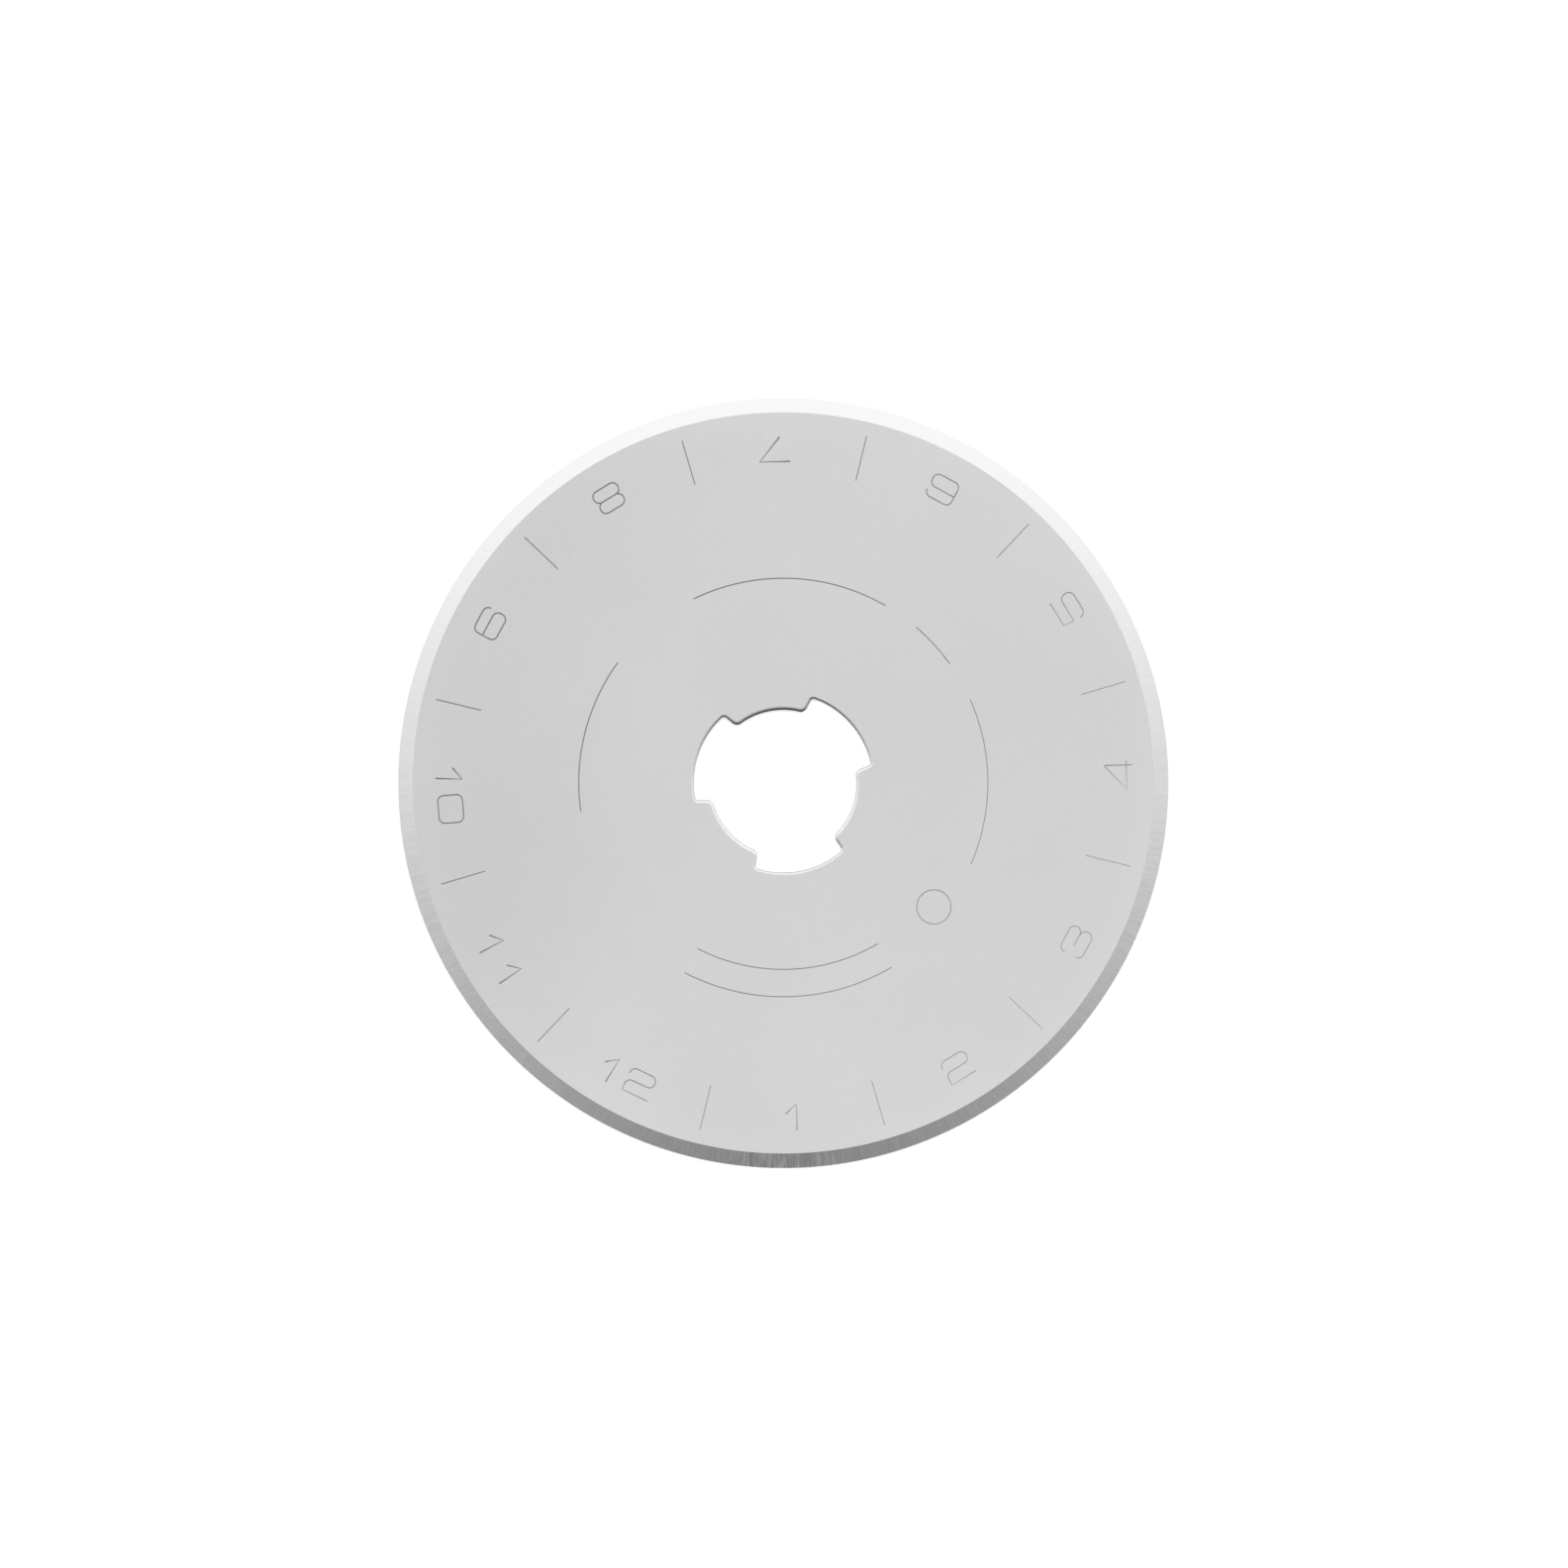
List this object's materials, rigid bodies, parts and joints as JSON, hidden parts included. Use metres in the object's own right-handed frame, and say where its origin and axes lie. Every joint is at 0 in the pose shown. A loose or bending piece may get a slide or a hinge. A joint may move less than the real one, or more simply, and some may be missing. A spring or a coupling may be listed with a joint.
{
  "type": "rotary cutter blade",
  "caption": "Thin round steel blade with a double-bevelled cutting rim, a lobed hub hole and an engraved dial of numbers, for a rotary fabric cutter.",
  "frame": {"origin": "Centre of the blade, on its axis and halfway through its thickness.", "axes": "+Z is the blade's axis, out of the engraved face. The numeral 1 of the dial is at -Y, the 7 at +Y and the 4 at +X."},
  "size_m": [0.045, 0.045, 0.0004],
  "materials": {
    "blade_steel": "satin ground tool steel"
  },
  "bodies": {
    "root": {"blade": "blade_steel"}
  },
  "joints": []
}
